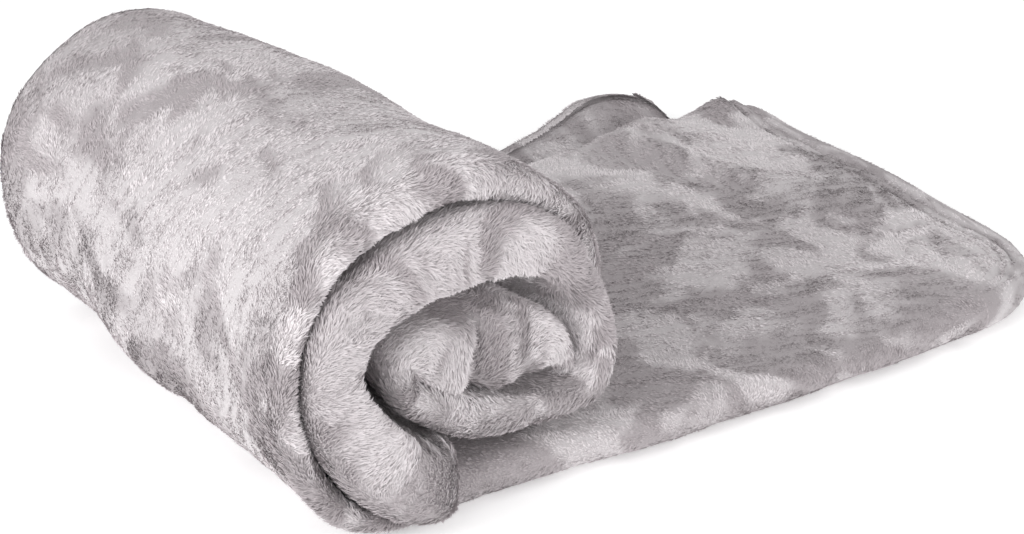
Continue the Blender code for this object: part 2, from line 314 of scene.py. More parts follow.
def across_and_height(thick, upper_width, lower_width):
    """For one row: each column's place across the pack, from the near nose, and its height in it."""
    ratio = thick / PACK_THICK
    heights = [h * ratio for h in LAYER_HEIGHTS]
    fullness = float(smooth(thick, *FULL_PACK))
    nose = thick * (NOSE_SHARE - NOSE_SHARE_LOSS * fullness)
    power = 1.0 - NOSE_SQUARENESS * fullness
    inner_nose = thick * INNER_NOSE_SHARE
    inner_start = nose * 0.9
    widths = (lower_width, lower_width, upper_width, upper_width)
    across = np.zeros(len(COLUMNS))
    height = np.zeros(len(COLUMNS))
    for j, (kind, layer, t) in enumerate(COLUMNS):
        if kind == "flat":
            start = nose if layer in (0, 3) else inner_start
            far = widths[layer] - (HEM_LIFT if layer < 2 else FAR_FOLD_DEPTH)
            across[j] = start + (far - start) * t
            height[j] = heights[layer]
        elif kind == "inner_fold":
            angle = math.pi * t
            across[j] = inner_start - inner_nose * math.sin(angle)
            height[j] = heights[1] + (heights[2] - heights[1]) * (1.0 - math.cos(angle)) / 2.0
        elif kind == "far_fold":
            angle = math.pi * t
            across[j] = upper_width - FAR_FOLD_DEPTH + FAR_FOLD_DEPTH * math.sin(angle)
            height[j] = heights[2] + (heights[3] - heights[2]) * (1.0 - math.cos(angle)) / 2.0
        elif kind == "near_fold":
            angle = math.pi * t
            across[j] = nose - nose * math.sin(angle) ** power
            middle = (heights[3] + heights[0]) / 2.0
            turned = math.copysign(abs(math.cos(angle)) ** power, math.cos(angle))
            height[j] = middle + (heights[3] - heights[0]) / 2.0 * turned
        elif kind == "free_inner":
            across[j] = lower_width - HEM_DEPTH * (1.0 - t) ** 1.5
            height[j] = heights[1] + HEM_LIFT * (0.5 - t)
        else:
            across[j] = lower_width - HEM_DEPTH * t**1.5
            height[j] = heights[0] + (heights[1] - heights[0]) * 0.8 * t
    return across, height


def spiral(turns):
    """The middle of the evenly rolled pack, in XZ, from where it leaves the floor inwards."""
    radius = ROLL_RADIUS - PITCH * turns - PACK_THICK / 2.0
    angle = 2.0 * math.pi * turns
    return np.stack([-radius * np.sin(angle), ROLL_RADIUS - radius * np.cos(angle)], -1)


def swell(turns, y):
    """How far the loose roll stands out from the even spiral: over its top, and low on its outer side."""
    over_top = 0.0078 * np.exp(-(((turns - 0.62) / 0.17) ** 2)) * (1.0 - 0.55 * smooth(y, 0.24, 0.33))
    low_down = 0.0130 * np.exp(-(((turns - 0.14) / 0.070) ** 2)) * (1.0 - 0.75 * smooth(y, 0.16, 0.31))
    return over_top + low_down


def dents(turns, y):
    """Pinches low on the roll's outer side, which run up and back round it."""
    total = np.zeros(y.shape)
    for place, turn, depth, width in ROLL_DENTS:
        line = place - 0.20 * (turns - turn)
        total += depth * np.exp(-(((y - line) / width) ** 2)) * np.exp(-(((turns - turn) / 0.085) ** 2))
    return total


def side_of(path):
    """Directions at right angles to a path in XZ, towards the roll's axis."""
    step = np.gradient(path, axis=0)
    step /= np.linalg.norm(step, axis=1)[:, None]
    return np.stack([step[:, 1], -step[:, 0]], -1)


def tail_rows():
    """Places of the rows along the tail, from its end to the roll, close together round the corner."""
    corner = [TAIL_LENGTH - CORNER_RADIUS * (1.0 - math.cos(a)) for a in np.linspace(0.0, math.pi / 2.0, 26)]
    hem = [TAIL_LENGTH - HEM_DEPTH * t for t in (1.0, 0.3)]
    rest = np.linspace(TAIL_LENGTH - CORNER_RADIUS, 0.0, 58)[1:]
    return np.array(hem + corner + list(rest))


def roll_rows():
    """Turns of the rows along the roll, evenly spaced on the cloth."""
    turns = np.linspace(0.0, NEAR_STATIONS[-1][0], 2000)
    path = spiral(turns)
    length = np.concatenate([[0.0], np.cumsum(np.linalg.norm(np.diff(path, axis=0), axis=1))])
    count = int(length[-1] / ROLL_ROW_STEP)
    return np.interp(np.linspace(0.0, length[-1], count), length, turns)


def far_corner(x, radius):
    """How much a leaf's far edge comes in as its far corner rounds off."""
    turned = max(0.0, x - (TAIL_LENGTH - radius)) / radius
    return radius * (1.0 - math.sqrt(max(0.0, 1.0 - turned**2)))


def make_tail_points():
    """Design places of the tail's cloth: rows from the end to the roll, by columns."""
    x_rows = tail_rows()
    closing = np.where(np.isin(LAYERS, (0, 2)), 1.0, -1.0)
    for j, (kind, _, t) in enumerate(COLUMNS):
        if kind in ("near_fold", "inner_fold", "far_fold"):
            closing[j] = -math.cos(math.pi * t) if kind != "far_fold" else math.cos(math.pi * t)
    flat_lower = FREE | ((KINDS == "flat") & np.isin(LAYERS, (0, 1)))
    points = np.zeros((len(x_rows), len(COLUMNS), 3))
    for i, x in enumerate(x_rows):
        end_share = float(smooth(x, 0.355, TAIL_LENGTH))
        thick = PACK_THICK * (1.0 - 0.20 * end_share)
        turned = max(0.0, x - (TAIL_LENGTH - CORNER_RADIUS)) / CORNER_RADIUS
        corner = CORNER_RADIUS * (1.0 - math.sqrt(max(0.0, 1.0 - turned**2)))
        upper_far = 0.290 + 0.012 * float(smooth(x, 0.30, 0.36))
        upper_far = upper_far - 0.010 * float(smooth(x, 0.385, TAIL_LENGTH))
        lower_far = 0.321 + 0.023 * float(smooth(x, 0.20, 0.38))
        upper_far -= far_corner(x, UPPER_FAR_CORNER)
        lower_far -= far_corner(x, LOWER_FAR_CORNER)
        across, height = across_and_height(thick, upper_far - corner, lower_far - corner)
        y = across + corner
        lag = LEAF_LAG * smooth(y, 0.03, 0.30) * smooth(x, 0.16, TAIL_LENGTH) * flat_lower
        points[i, :, 0] = x - lag
        points[i, :, 1] = y
        points[i, :, 2] = height
        if i < 2:
            points[i, :, 2] += closing * (0.0030 if i == 0 else 0.0018) * thick / PACK_THICK
    return shape_tail(points)


def from_line(points, line):
    """Distance of each point from a line of corners, seen from above, and how far along it, 0 to 1."""
    best = np.full(points.shape[:-1], 1e9)
    along = np.zeros(points.shape[:-1])
    corners = np.array(line)
    for k in range(len(corners) - 1):
        step = corners[k + 1] - corners[k]
        t = np.clip(((points[..., :2] - corners[k]) @ step) / (step @ step), 0.0, 1.0)
        gap = np.linalg.norm(points[..., :2] - corners[k] - t[..., None] * step, axis=-1)
        along = np.where(gap < best, (k + t) / (len(corners) - 1), along)
        best = np.minimum(best, gap)
    return best, along


def from_end_edge(points):
    """Distance from the tail's end edge, followed round the near corner, and the angle round that corner."""
    x, y = points[..., 0], points[..., 1]
    straight = TAIL_LENGTH - x
    dx, dy = x - (TAIL_LENGTH - CORNER_RADIUS), y - CORNER_RADIUS
    round_corner = CORNER_RADIUS - np.hypot(dx, dy)
    angle = np.where(dy < 0.0, np.arctan2(-dy, np.maximum(dx, 1e-6)), 0.0)
    return np.where((dy < 0.0) & (dx > 0.0), round_corner, straight), angle


def shape_tail(points):
    """The tail's bumps, wrinkles, lifted far corners and the seams pressed in by the hem's stitching."""
    top = ((LAYERS == 3) & (KINDS == "flat")) | (KINDS == "far_fold")
    near_top = (KINDS == "near_fold") & (np.array([c[2] for c in COLUMNS]) < 0.5)
    upper = (top | near_top | (LAYERS == 2)).astype(float)
    flat = points[..., :2]
    height = 0.0016 * Clouds(53, 0.075, 2)(flat) * smooth(points[..., 1], 0.01, 0.05)
    for line, rise, width in TAIL_WRINKLES:
        gap, along = from_line(points, line)
        height += rise * np.exp(-((gap / width) ** 2)) * np.sin(math.pi * np.clip(along, 0.04, 0.96)) ** 0.5
    for x, y, rise, width_x, width_y in TAIL_BUMPS:
        away = ((points[..., 0] - x) / width_x) ** 2 + ((points[..., 1] - y) / width_y) ** 2
        height += rise * np.exp(-away)
    inset, angle = from_end_edge(points)
    for seam in HEM_SEAMS:
        pucker = 1.0 + 0.45 * Clouds(61, 0.007, 1)(flat)
        pressed = np.exp(-(((inset - seam) / GROOVE_WIDTH) ** 2)) * (1.0 - smooth(angle, *GROOVE_FADE))
        height -= GROOVE_DEPTH * pressed * pucker
    lowest = np.clip(points[..., 2] / PACK_THICK, 0.0, 1.0)
    points[..., 2] += height * upper * smooth(lowest, 0.15, 0.6)
    lower = FREE | (LAYERS == 1) | ((LAYERS == 0) & (KINDS == "flat"))
    lift = 0.0135 * np.exp(-(((points[..., 0] - 0.345) / 0.045) ** 2)) + 0.0035
    edge = smooth(points[..., 1], 0.300, 0.335) * smooth(points[..., 0], 0.10, 0.22)
    points[..., 2] += lower * lift * edge
    return points


def make_roll_points():
    """Design places of the rolled cloth: rows by turns, from the tail to the middle of the roll."""
    turns = roll_rows()
    body = spiral(turns)
    near = np.stack([through(NEAR_STATIONS, 1, turns), through(NEAR_STATIONS, 2, turns)], -1) * UNIT
    body_side = side_of(body)
    near_side = side_of(near)
    near_thick = through(NEAR_STATIONS, 3, turns) * UNIT
    nose_y = through(NEAR_STATIONS, 4, turns) * UNIT
    for place, depth, width in LIP_CREASES:
        nose_y += depth * UNIT * np.exp(-(((turns - place) / width) ** 2))
    nose_y = nose_y * smooth(turns, -0.02, 0.06)
    far_y = PACK_WIDTH + through(FAR_SET, 1, turns)
    across_body, height_body = across_and_height(PACK_THICK, PACK_WIDTH, PACK_WIDTH)
    points = np.zeros((len(turns), len(COLUMNS), 3))
    for i in range(len(turns)):
        share = float(smooth(turns[i], 0.0, 0.05))
        thick = PACK_THICK + (near_thick[i] - PACK_THICK) * share
        across_near, height_near = across_and_height(thick, PACK_WIDTH, PACK_WIDTH)
        y_first = nose_y[i] + across_near * (far_y[i] - nose_y[i]) / PACK_WIDTH
        lip = 1.0 - smooth(y_first, 0.0, LIP_REACH)
        lip *= share
        across = across_body + (across_near - across_body) * lip
        y = nose_y[i] + across * (far_y[i] - nose_y[i]) / PACK_WIDTH
        height = height_body - PACK_THICK / 2.0
        height = height + (height_near - thick / 2.0 - height_body + PACK_THICK / 2.0) * lip
        centre = body[i] + (near[i] - body[i]) * lip[:, None]
        side = body_side[i] + (near_side[i] - body_side[i]) * lip[:, None]
        side /= np.linalg.norm(side, axis=1)[:, None]
        puff = (swell(turns[i], y) - dents(turns[i], y)) * (1.0 - lip)
        place = centre + side * (height - puff)[:, None]
        shrink = 1.0 + (FAR_SCALE - 1.0) * np.clip(y / PACK_WIDTH, 0.0, 1.0)
        shrink = 1.0 + (shrink - 1.0) * float(smooth(turns[i], 0.0, 0.12))
        points[i, :, 0] = place[:, 0] * shrink
        points[i, :, 1] = y
        points[i, :, 2] = place[:, 1] * shrink
    return points


def grid_normals(points):
    """Directions out of the folded bundle, away from the plies inside it."""
    along = np.gradient(points, axis=0)
    across = np.gradient(points, axis=1)
    normal = np.cross(along, across)
    return normal / np.maximum(np.linalg.norm(normal, axis=-1, keepdims=True), 1e-12)


def add_sheet(name, points):
    """Adds the cloth as a flat grid, folds it by moving its points and turns its faces outwards."""
    rows, columns = points.shape[:2]
    bpy.ops.object.select_all(action="DESELECT")
    bpy.ops.mesh.primitive_grid_add(x_subdivisions=columns - 1, y_subdivisions=rows - 1, size=1.0)
    sheet = bpy.context.object
    sheet.name = name
    sheet.data.name = name
    placed = points + DESIGN_TO_FRAME
    sheet.data.vertices.foreach_set("co", placed.reshape(-1, 3).astype(np.float32).ravel())
    sheet.data.update()
    bpy.ops.object.mode_set(mode="EDIT")
    bpy.ops.mesh.select_all(action="SELECT")
    bpy.ops.mesh.flip_normals()
    bpy.ops.object.mode_set(mode="OBJECT")
    bpy.ops.object.shade_smooth()
    return sheet


# ---------------------------------------------------------------- undulation and dents


def soften(points):
    """The cloth's slow unevenness: one gentle shift of space for every layer, so that none run together."""
    moved = points.copy()
    loose = smooth(points[..., 2], 0.004, 0.035)
    sideways = Ripples(5, 0.13)(points)
    outward = Ripples(11, 0.10)(points)
    lift = Ripples(23, 0.15)(points)
    moved[..., 0] += 0.0016 * sideways * loose
    moved[..., 1] += 0.0012 * outward
    moved[..., 2] += 0.0016 * lift * loose
    return moved


# ---------------------------------------------------------------- the pile

PILE_LENGTH = 0.0041
PILE_WIDTH = 0.00055
MOST_TUFTS = 64000  # in one piece
ROOT_DEPTH = 0.0004  # how deep a tuft's root sits under the cloth's face
ROOT_PART = 0.55  # the share of a tuft's length below its bend
TIP_DROOP = 0.62  # the tip's rise as a share of the root's


def make_tuft():
    """One lock of pile, lying along +X with its flat side up: a narrow root, a wider middle and a point."""
    bpy.ops.object.select_all(action="DESELECT")
    bpy.ops.mesh.primitive_plane_add(size=1.0)
    tuft = bpy.context.object
    bpy.ops.object.mode_set(mode="EDIT")
    bpy.ops.mesh.select_all(action="SELECT")
    bpy.ops.transform.translate(value=(0.5, 0.0, 0.0))
    bpy.ops.object.mode_set(mode="OBJECT")
    for vertex in tuft.data.vertices:
        vertex.co.x *= ROOT_PART
        vertex.co.y *= 0.8 if vertex.co.x < 0.1 else 1.0
    bpy.ops.object.mode_set(mode="EDIT")
    bpy.ops.mesh.select_all(action="DESELECT")
    bpy.ops.mesh.select_mode(type="EDGE")
    bpy.ops.object.mode_set(mode="OBJECT")
    for edge in tuft.data.edges:
        edge.select = all(tuft.data.vertices[v].co.x > 0.5 for v in edge.vertices)
    bpy.ops.object.mode_set(mode="EDIT")
    bpy.ops.mesh.extrude_region_move(TRANSFORM_OT_translate={"value": (1.0 - ROOT_PART, 0.0, 0.0)})
    bpy.ops.mesh.merge(type="CENTER")
    bpy.ops.object.mode_set(mode="OBJECT")
    shape = np.array([v.co for v in tuft.data.vertices])
    faces = [list(f.vertices) for f in tuft.data.polygons]
    bpy.data.objects.remove(tuft)
    return shape, faces


def bilinear(grid, row, column, a, b):
    """Values read from a grid at shares a down and b across its cells."""
    return (
        grid[row, column] * ((1 - a) * (1 - b))[:, None]
        + grid[row + 1, column] * (a * (1 - b))[:, None]
        + grid[row, column + 1] * ((1 - a) * b)[:, None]
        + grid[row + 1, column + 1] * (a * b)[:, None]
    )


NAP_WARP = (Clouds(3, 0.05, 2), Clouds(4, 0.05, 2))
NAP_PATCHES = Clouds(17, 0.027, 4, stretch=(1.5, 0.8))
NAP_BROAD = Clouds(29, 0.16, 2)
NAP_SMALL = Clouds(67, 0.013, 2, stretch=(1.4, 0.8))
LAY_TURN = (Clouds(31, 0.045, 2), Clouds(37, 0.012, 2))
SPOTS = Clouds(41, 0.006, 2)
STREAKS = Clouds(43, 0.0028, 2, stretch=(5.5, 1.0))
STREAK_TURN = 2.0


def streaks_at(flat):
    """Fine furrows in the pile, running the way it is brushed."""
    c, s = math.cos(STREAK_TURN), math.sin(STREAK_TURN)
    bend = 0.004 * LAY_TURN[0](flat)
    turned = np.stack([flat[..., 0] * c + flat[..., 1] * s, flat[..., 1] * c - flat[..., 0] * s + bend], -1)
    return STREAKS(turned)


def nap_of(flat):
    """How far the pile is brushed towards the light side, 0 to 1, in soft-edged patches. The tufts lie by
    it, and it also sets their painted sheen and shade.
    """
    warp = np.stack([NAP_WARP[0](flat), NAP_WARP[1](flat)], -1)
    value = NAP_PATCHES(flat + 0.018 * warp) + 0.30 * NAP_BROAD(flat)
    value = value + 0.22 * NAP_SMALL(flat + 0.006 * warp)
    # Painted shade: the nap is painted darker all over, and more on the tail, which lies in the roll's
    # shade.
    value -= 0.04 * (1.0 - smooth(flat[..., 1], 0.30, 0.42)) + 0.04
    return smooth(value, -0.46, 0.30)


def grow_pile(name, points, flat, shade, density, length, ruffle, seed):
    """Covers the outer face of a folded sheet with tufts, and returns the tufts' pieces.

    density is tufts a square metre for each cell. shade, length and ruffle are for each corner."""
    normals = grid_normals(points)
    along = np.gradient(points, axis=0) / np.maximum(np.gradient(flat[..., 1], axis=0), 1e-6)[..., None]
    across = np.gradient(points, axis=1) / np.maximum(np.gradient(flat[..., 0], axis=1), 1e-6)[..., None]
    edge_a = points[1:, :-1] - points[:-1, :-1]
    edge_b = points[:-1, 1:] - points[:-1, :-1]
    area = np.linalg.norm(np.cross(edge_a, edge_b), axis=-1)
    share = (area * density).ravel()
    total = np.cumsum(share)
    count = int(total[-1])
    rng = np.random.default_rng(seed)
    cell = np.searchsorted(total, (np.arange(count) + rng.random(count)) * total[-1] / count)
    cell = np.minimum(cell, len(share) - 1)
    row, column = np.divmod(cell, points.shape[1] - 1)
    a, b = rng.random(count), rng.random(count)
    root = bilinear(points, row, column, a, b)
    spot = bilinear(flat, row, column, a, b)
    normal = bilinear(normals, row, column, a, b)
    normal /= np.linalg.norm(normal, axis=1)[:, None]
    toward_s = bilinear(along, row, column, a, b)
    toward_u = bilinear(across, row, column, a, b)
    extra = bilinear(np.stack([length, ruffle, shade], -1), row, column, a, b)
    nap = np.clip(nap_of(spot) - extra[:, 2], 0.0, 1.0)
    angle = 2.0 + 1.1 * LAY_TURN[0](spot) + 0.5 * LAY_TURN[1](spot)
    angle = angle + 1.3 * (nap - 0.5) + rng.normal(0, 0.28, count)
    lay = toward_u * np.cos(angle)[:, None] + toward_s * np.sin(angle)[:, None]
    lay -= normal * (lay * normal).sum(1)[:, None]
    lay /= np.maximum(np.linalg.norm(lay, axis=1), 1e-9)[:, None]
    wide = np.cross(normal, lay)
    furrow = streaks_at(spot)
    rise = 0.29 + 0.55 * extra[:, 1] + 0.06 * SPOTS(spot) + 0.18 * furrow + rng.normal(0, 0.07, count)
    size = PILE_LENGTH * extra[:, 0] * rng.uniform(0.75, 1.2, count)
    width = PILE_WIDTH * rng.uniform(0.75, 1.3, count)
    twist = rng.normal(0, 0.45, count)
    shape, faces = TUFT
    tip_part = 1.0 - ROOT_PART
    mid_share = shape[:, 0].clip(0.0, ROOT_PART) / ROOT_PART
    tip_share = (shape[:, 0] - ROOT_PART).clip(0.0, tip_part) / tip_part
    low, high = np.clip(rise, 0.1, 1.25), np.clip(rise * TIP_DROOP, 0.05, 1.1)
    flat_side = wide * np.cos(twist)[:, None] + normal * np.sin(twist)[:, None]
    place = (
        root[:, None, :]
        - ROOT_DEPTH * normal[:, None, :]
        + (mid_share[None, :, None] * ROOT_PART * size[:, None, None])
        * (lay * np.cos(low)[:, None] + normal * np.sin(low)[:, None])[:, None, :]
        + (tip_share[None, :, None] * tip_part * size[:, None, None])
        * (lay * np.cos(high)[:, None] + normal * np.sin(high)[:, None])[:, None, :]
        + shape[None, :, 1, None] * width[:, None, None] * flat_side[:, None, :]
    )
    tone = np.zeros((count, len(shape), 4))
    tone[..., 0] = nap[:, None]
    # Painted shade: darker towards each tuft's root.
    tone[..., 1] = (mid_share * 0.6 + tip_share * 0.4)[None, :]
    # Small random variation, with painted shade along the streaks where the tufts lie flatter.
    tone[..., 2] = np.clip(0.5 + 0.34 * furrow + rng.normal(0, 0.16, count), 0.0, 1.0)[:, None]
    tone[..., 3] = 1.0
    turn = np.stack([np.cos(angle), np.sin(angle)], -1)
    beside = np.stack([-turn[:, 1], turn[:, 0]], -1)
    uv = (
        spot[:, None, :]
        + shape[None, :, 0, None] * size[:, None, None] * turn[:, None, :]
        + shape[None, :, 1, None] * width[:, None, None] * beside[:, None, :]
    )
    pieces = []
    parts = max(1, math.ceil(count / MOST_TUFTS))
    for part in range(parts):
        some = slice(count * part // parts, count * (part + 1) // parts)
        pieces.append(add_tufts(f"{name}_{part + 1}", place[some], tone[some], uv[some], faces))
    return pieces


def add_piece(name, mesh, material):
    """Puts a finished, smooth-shaded mesh into the scene as one piece."""
    mesh.polygons.foreach_set("use_smooth", np.ones(len(mesh.polygons), bool))
    mesh.materials.append(material)
    piece = bpy.data.objects.new(name, mesh)
    bpy.context.scene.collection.objects.link(piece)
    return piece


def add_tufts(name, place, tone, uv, faces):
    """One piece of many copies of the tuft."""
    count, corners = place.shape[:2]
    mesh = bpy.data.meshes.new(name)
    sizes = [len(f) for f in faces]
    loops = np.concatenate([np.array(f) for f in faces])
    all_loops = (np.arange(count)[:, None] * corners + loops[None, :]).ravel()
    starts = (np.arange(count)[:, None] * len(loops) + np.cumsum([0] + sizes[:-1])[None, :]).ravel()
    mesh.vertices.add(count * corners)
    mesh.vertices.foreach_set("co", (place + DESIGN_TO_FRAME).astype(np.float32).ravel())
    mesh.loops.add(len(all_loops))
    mesh.loops.foreach_set("vertex_index", all_loops.astype(np.int32))
    mesh.polygons.add(len(starts))
    mesh.polygons.foreach_set("loop_start", starts.astype(np.int32))
    mesh.update(calc_edges=True)
    colours = mesh.attributes.new("tone", "FLOAT_COLOR", "POINT")
    colours.data.foreach_set("color", tone.astype(np.float32).ravel())
    low, high = uv.reshape(-1, 2).min(axis=0), uv.reshape(-1, 2).max(axis=0)
    spread = 0.01 + 0.98 * (uv.reshape(-1, 2) - low) / (high - low)
    layer = mesh.uv_layers.new(name="OFBake")
    layer.data.foreach_set("uv", spread[all_loops].astype(np.float32).ravel())
    piece = add_piece(name, mesh, PILE)
    return piece


# ---------------------------------------------------------------- the hem's stitches

STITCH_PITCH = 0.0035
STITCH_LENGTH = 0.0029
STITCH_WIDTH = 0.0009
STITCH_SINK = 0.2  # how far the pull of the thread sinks it into the cloth, as a share of its width


def make_stitch():
    """One stitch, a short bead of thread lying along X, 1 long and 1 wide before it is sized."""
    bpy.ops.object.select_all(action="DESELECT")
    bpy.ops.mesh.primitive_uv_sphere_add(segments=6, ring_count=4, radius=0.5)
    stitch = bpy.context.object
    bpy.ops.object.mode_set(mode="EDIT")
    bpy.ops.mesh.select_all(action="SELECT")
    bpy.ops.transform.rotate(value=math.pi / 2.0, orient_axis="Y")
    bpy.ops.object.mode_set(mode="OBJECT")
    shape = np.array([v.co for v in stitch.data.vertices])
    faces = [list(f.vertices) for f in stitch.data.polygons]
    bpy.data.objects.remove(stitch)
    return shape, faces


def seam_line(points, inset, seam):
    """Where one seam runs, at an even distance from the end edge, and the directions out of the cloth."""
    normals = grid_normals(points)
    line, outward = [], []
    for column in range(points.shape[1]):
        from_edge = seam + max(inset[0, column] - 0.002, 0.0)
        row = max(1, int(np.argmax(inset[:, column] >= from_edge)))
        share = (from_edge - inset[row - 1, column]) / (inset[row, column] - inset[row - 1, column])
        line.append(points[row - 1, column] * (1.0 - share) + points[row, column] * share)
        outward.append(normals[row, column])
    return np.array(line), np.array(outward)


def add_stitches(name, line, outward):
    """One row of stitches, each a copy of the same one, laid end to end along a seam."""
    steps = np.linalg.norm(np.diff(line, axis=0), axis=1)
    along = np.concatenate([[0.0], np.cumsum(steps)])
    stops = np.arange(STITCH_PITCH, along[-1] - STITCH_PITCH, STITCH_PITCH)

    def read(values, shift=0.0):
        return np.stack([np.interp(stops + shift, along, values[:, axis]) for axis in range(3)], -1)

    middle = read(line) + DESIGN_TO_FRAME
    ahead = read(line, 0.4 * STITCH_PITCH) - read(line, -0.4 * STITCH_PITCH)
    ahead /= np.linalg.norm(ahead, axis=1)[:, None]
    out = read(outward)
    out -= ahead * (out * ahead).sum(1)[:, None]
    out /= np.linalg.norm(out, axis=1)[:, None]
    side = np.cross(out, ahead)
    shape, faces = STITCH
    place = (
        middle[:, None, :]
        + shape[None, :, 0, None] * STITCH_LENGTH * ahead[:, None, :]
        + shape[None, :, 1, None] * STITCH_WIDTH * side[:, None, :]
        + (shape[None, :, 2, None] - STITCH_SINK) * STITCH_WIDTH * out[:, None, :]
    )
    mesh = bpy.data.meshes.new(name)
    firsts = [copy * len(shape) for copy in range(len(stops))]
    all_faces = [[v + first for v in face] for first in firsts for face in faces]
    mesh.from_pydata(place.reshape(-1, 3).tolist(), [], all_faces)
    piece = add_piece(name, mesh, THREAD)
    return piece


# ---------------------------------------------------------------- materials

# Colours of the pile from nap 0 to 1, painted sheen and shade: lit where the nap catches the light and
# shaded where it lies away.
NAP_SHADED = (0.50, 0.455, 0.47)
NAP_LIT = (0.83, 0.785, 0.80)


def add_node(tree, kind, **settings):
    node = tree.nodes.new(kind)
    for key, value in settings.items():
        setattr(node, key, value)
    return node


def add_range(tree, value, low, high):
    """A node that turns 0 to 1 into low to high, and its result."""
    node = add_node(tree, "ShaderNodeMapRange")
    node.inputs["To Min"].default_value = low
    node.inputs["To Max"].default_value = high
    tree.links.new(value, node.inputs["Value"])
    return node.outputs["Result"]


def add_bump(tree, height, strength, distance):
    """A bump node, and its normal."""
    node = add_node(tree, "ShaderNodeBump")
    node.inputs["Strength"].default_value = strength
    node.inputs["Distance"].default_value = distance
    tree.links.new(height, node.inputs["Height"])
    return node.outputs["Normal"]


def add_noise(tree, scale, detail=2.0):
    """Noise over the piece's own object coordinates, and its value."""
    place = add_node(tree, "ShaderNodeTexCoord")
    node = add_node(tree, "ShaderNodeTexNoise")
    node.inputs["Scale"].default_value = scale
    node.inputs["Detail"].default_value = detail
    tree.links.new(place.outputs["Object"], node.inputs["Vector"])
    return node.outputs["Fac"]


def make_fleece_colour():
    """Colours the cloth and its pile share: pinkish grey with painted sheen and shade, lighter where the nap
    catches the light and darker where it lies away, and painted shade at the roots.

    The "tone" colours hold the nap in red, root to tip in green for the painted root shade, and in blue
    small variation with painted shade along the pile's low streaks."""
    group = bpy.data.node_groups.new("fleece_colour", "ShaderNodeTree")
    group.interface.new_socket("Root Shade", in_out="INPUT", socket_type="NodeSocketFloat")
    group.interface.new_socket("Colour", in_out="OUTPUT", socket_type="NodeSocketColor")
    inside = add_node(group, "NodeGroupInput")
    outside = add_node(group, "NodeGroupOutput")
    tone = add_node(group, "ShaderNodeAttribute", attribute_type="GEOMETRY", attribute_name="tone")
    parts = add_node(group, "ShaderNodeSeparateColor")
    group.links.new(tone.outputs["Color"], parts.inputs["Color"])
    ramp = add_node(group, "ShaderNodeValToRGB")
    ramp.color_ramp.elements[0].color = (*NAP_SHADED, 1.0)
    ramp.color_ramp.elements[1].color = (*NAP_LIT, 1.0)
    group.links.new(parts.outputs["Red"], ramp.inputs["Fac"])
    shade = add_node(group, "ShaderNodeMapRange")
    shade.inputs["To Max"].default_value = 1.0
    group.links.new(parts.outputs["Green"], shade.inputs["Value"])
    group.links.new(inside.outputs["Root Shade"], shade.inputs["To Min"])
    product = add_node(group, "ShaderNodeMath", operation="MULTIPLY")
    group.links.new(shade.outputs["Result"], product.inputs[0])
    group.links.new(add_range(group, parts.outputs["Blue"], 0.94, 1.06), product.inputs[1])
    tint = add_node(group, "ShaderNodeVectorMath", operation="SCALE")
    group.links.new(ramp.outputs["Color"], tint.inputs[0])
    group.links.new(product.outputs["Value"], tint.inputs["Scale"])
    group.links.new(tint.outputs["Vector"], outside.inputs["Colour"])
    return group


def make_fleece_relief():
    """Roughness and bumps the cloth and its pile share: rougher where the nap lies away."""
    group = bpy.data.node_groups.new("fleece_relief", "ShaderNodeTree")
    group.interface.new_socket("Bump Strength", in_out="INPUT", socket_type="NodeSocketFloat")
    group.interface.new_socket("Roughness", in_out="OUTPUT", socket_type="NodeSocketFloat")
    group.interface.new_socket("Normal", in_out="OUTPUT", socket_type="NodeSocketVector")
    inside = add_node(group, "NodeGroupInput")
    outside = add_node(group, "NodeGroupOutput")
    tone = add_node(group, "ShaderNodeAttribute", attribute_type="GEOMETRY", attribute_name="tone")
    parts = add_node(group, "ShaderNodeSeparateColor")
    group.links.new(tone.outputs["Color"], parts.inputs["Color"])
    fibres = add_noise(group, 700.0)
    by_fibre = add_node(group, "ShaderNodeMath", operation="MULTIPLY_ADD")
    by_fibre.inputs[1].default_value = 0.12
    group.links.new(fibres, by_fibre.inputs[0])
    group.links.new(add_range(group, parts.outputs["Red"], 0.84, 0.66), by_fibre.inputs[2])
    group.links.new(by_fibre.outputs["Value"], outside.inputs["Roughness"])
    normal = add_bump(group, fibres, 1.0, 0.0006)
    group.links.new(inside.outputs["Bump Strength"], normal.node.inputs["Strength"])
    group.links.new(normal, outside.inputs["Normal"])
    return group


def make_fleece(name, root_shade, bump_strength, colour_group, relief_group):
    """Soft plush: a wide, dim highlight and a light sheen."""
    material = bpy.data.materials.new(name)
    material.use_nodes = True
    tree = material.node_tree
    shader = tree.nodes["Principled BSDF"]
    colour = add_node(tree, "ShaderNodeGroup", node_tree=colour_group)
    colour.inputs["Root Shade"].default_value = root_shade
    tree.links.new(colour.outputs["Colour"], shader.inputs["Base Color"])
    relief = add_node(tree, "ShaderNodeGroup", node_tree=relief_group)
    relief.inputs["Bump Strength"].default_value = bump_strength
    tree.links.new(relief.outputs["Roughness"], shader.inputs["Roughness"])
    tree.links.new(relief.outputs["Normal"], shader.inputs["Normal"])
    shader.inputs["Specular IOR Level"].default_value = 0.25
    shader.inputs["Sheen Weight"].default_value = 0.35
    shader.inputs["Sheen Roughness"].default_value = 0.5
    shader.inputs["Sheen Tint"].default_value = (1.0, 0.97, 0.97, 1.0)
    return material


